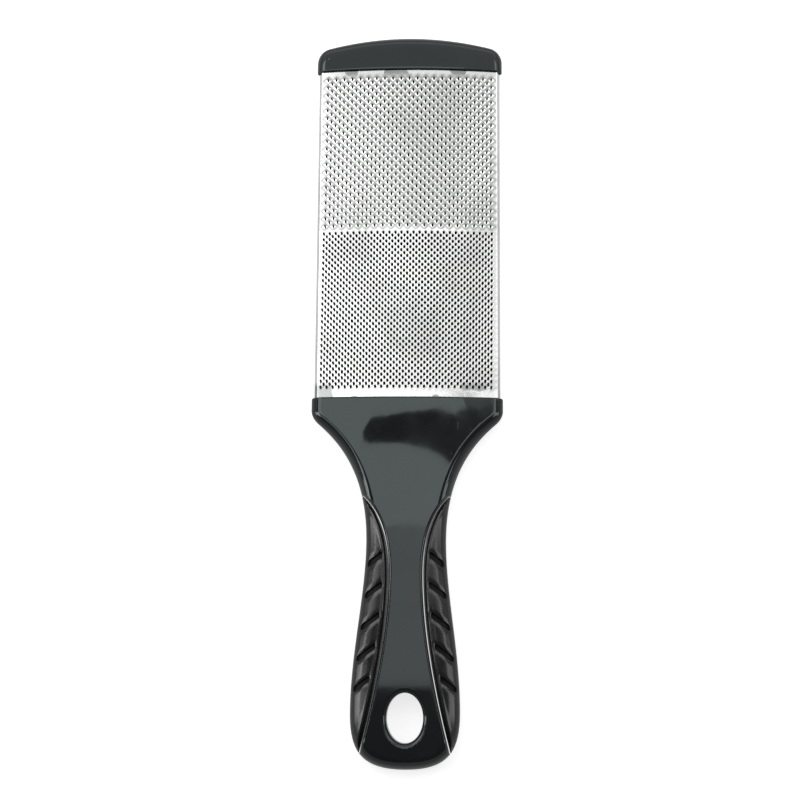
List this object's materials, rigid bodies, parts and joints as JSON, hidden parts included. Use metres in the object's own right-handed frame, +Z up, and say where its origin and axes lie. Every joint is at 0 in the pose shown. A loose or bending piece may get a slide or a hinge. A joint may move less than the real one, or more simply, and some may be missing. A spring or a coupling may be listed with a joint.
{
  "type": "callus remover",
  "caption": "Paddle-shaped foot rasp with a moulded handle, soft side grips, a hanging hole and a steel rasp face on each side, coarse towards the tip and fine towards the handle.",
  "frame": {"origin": "middle of the tool's length and width, on the surface that its back lies on", "axes": "+Y along the tool from the handle's end to the cap, +Z up through its thickness with the pictured face on top, +X across to the right"},
  "size_m": [0.0618, 0.24, 0.01],
  "materials": {
    "gloss_black_plastic": "smooth glossy black moulding",
    "satin_black_grip": "satin black soft moulding",
    "matt_black_plastic": "plain black moulding, hidden inside the head",
    "etched_stainless_steel": "bright stainless sheet with etched teeth"
  },
  "bodies": {
    "root": {"handle_body": "gloss_black_plastic", "grip_left": "satin_black_grip", "grip_right": "satin_black_grip", "core_paddle": "matt_black_plastic", "rasp_sheet_front": "etched_stainless_steel", "rasp_sheet_back": "etched_stainless_steel", "end_cap": "gloss_black_plastic"}
  },
  "joints": []
}
